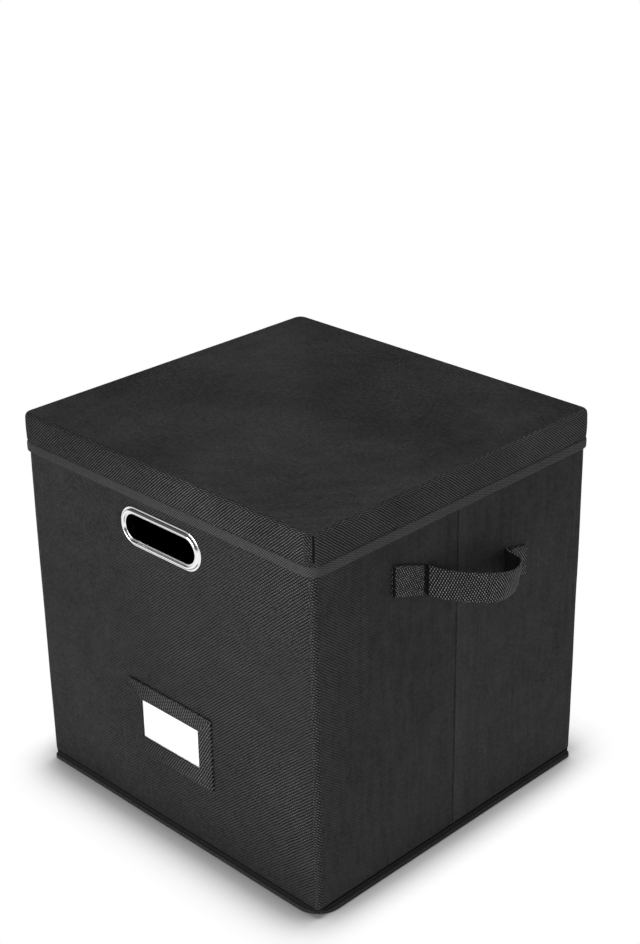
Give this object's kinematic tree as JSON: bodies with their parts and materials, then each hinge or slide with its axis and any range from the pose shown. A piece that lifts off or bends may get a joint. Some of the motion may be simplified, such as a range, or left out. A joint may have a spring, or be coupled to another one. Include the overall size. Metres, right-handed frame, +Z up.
{
  "type": "record carrying case",
  "caption": "Collapsible fabric-covered case for upright records, with a lift-off lid, metal-rimmed hand holes, webbing side handles and a card pocket.",
  "frame": {"origin": "middle of the underside, on the floor", "axes": "+Z up; -Y the front, with the card pocket; the side walls that fold are at -X (left) and +X (right)"},
  "size_m": [0.411, 0.3308, 0.341],
  "materials": {
    "outer_cloth": "woven twill look, matt",
    "base_fabric": "woven, matt",
    "binding_tape": "folded tape, matt",
    "strap_webbing": "coarse woven webbing",
    "pocket_cloth": "woven twill look, matt",
    "non_woven_lining": "pressed non-woven felt",
    "grey_board": "pressed fibre board, unpainted",
    "eyelet_metal": "polished chrome plate",
    "clear_film": "clear flexible film",
    "white_card": "plain white card"
  },
  "bodies": {
    "base_and_front": {"base_cloth": "base_fabric", "base_welt": "base_fabric", "insert_board": "grey_board", "insert_cover": "non_woven_lining", "front_board": "grey_board", "front_cover": "outer_cloth", "front_lining": "non_woven_lining", "front_eyelet_ring": "eyelet_metal", "front_eyelet_washer": "eyelet_metal", "pocket_frame": "pocket_cloth", "pocket_window": "clear_film"},
    "label_card": {"label_card": "white_card"},
    "left_front_panel": {"left_front_board": "grey_board", "left_front_cover": "outer_cloth", "left_front_lining": "non_woven_lining", "left_strap_front_half": "strap_webbing"},
    "left_back_panel": {"left_back_board": "grey_board", "left_back_cover": "outer_cloth", "left_back_lining": "non_woven_lining", "left_strap_rear_half": "strap_webbing"},
    "back_wall": {"back_board": "grey_board", "back_cover": "outer_cloth", "back_lining": "non_woven_lining", "back_eyelet_ring": "eyelet_metal", "back_eyelet_washer": "eyelet_metal"},
    "right_front_panel": {"right_front_board": "grey_board", "right_front_cover": "outer_cloth", "right_front_lining": "non_woven_lining", "right_strap_front_half": "strap_webbing"},
    "right_back_panel": {"right_back_board": "grey_board", "right_back_cover": "outer_cloth", "right_back_lining": "non_woven_lining", "right_strap_rear_half": "strap_webbing"},
    "lid": {"lid_cover": "outer_cloth", "lid_lining": "non_woven_lining", "lid_binding": "binding_tape", "lid_top_board": "grey_board", "lid_front_skirt_board": "grey_board", "lid_back_skirt_board": "grey_board", "lid_left_skirt_board": "grey_board", "lid_right_skirt_board": "grey_board"}
  },
  "joints": [
    {"name": "lid_lift", "type": "slide", "parent": "base_and_front", "child": "lid", "axis": [0, 0, 1], "range_m": [0, 0.4]},
    {"name": "left_front_corner_fold", "type": "hinge", "parent": "base_and_front", "child": "left_front_panel", "pos_m": [-0.165, -0.158, 0.1], "axis": [0, 0, -1], "range_deg": [0, 85]},
    {"name": "left_crease_fold", "type": "hinge", "parent": "left_front_panel", "child": "left_back_panel", "pos_m": [-0.1697, 0, 0.1], "axis": [0, 0, 1], "range_deg": [0, 170], "deforming": ["left_strap_front_half", "left_strap_rear_half"]},
    {"name": "left_back_corner_fold", "type": "hinge", "parent": "left_back_panel", "child": "back_wall", "pos_m": [-0.165, 0.158, 0.1], "axis": [0, 0, -1], "range_deg": [0, 85]},
    {"name": "right_front_corner_fold", "type": "hinge", "parent": "base_and_front", "child": "right_front_panel", "pos_m": [0.165, -0.158, 0.1], "axis": [0, 0, 1], "range_deg": [0, 85]},
    {"name": "right_crease_fold", "type": "hinge", "parent": "right_front_panel", "child": "right_back_panel", "pos_m": [0.1697, 0, 0.1], "axis": [0, 0, -1], "range_deg": [0, 170], "deforming": ["right_strap_front_half", "right_strap_rear_half"]},
    {"name": "label_card_slide", "type": "slide", "parent": "base_and_front", "child": "label_card", "axis": [0, 0, 1], "range_m": [0, 0.06]}
  ],
  "couplings": [
    {"joint": "left_crease_fold", "follows": "left_front_corner_fold", "ratio": 2},
    {"joint": "left_back_corner_fold", "follows": "left_front_corner_fold", "ratio": 1},
    {"joint": "right_front_corner_fold", "follows": "left_front_corner_fold", "ratio": 1},
    {"joint": "right_crease_fold", "follows": "left_front_corner_fold", "ratio": 2}
  ]
}
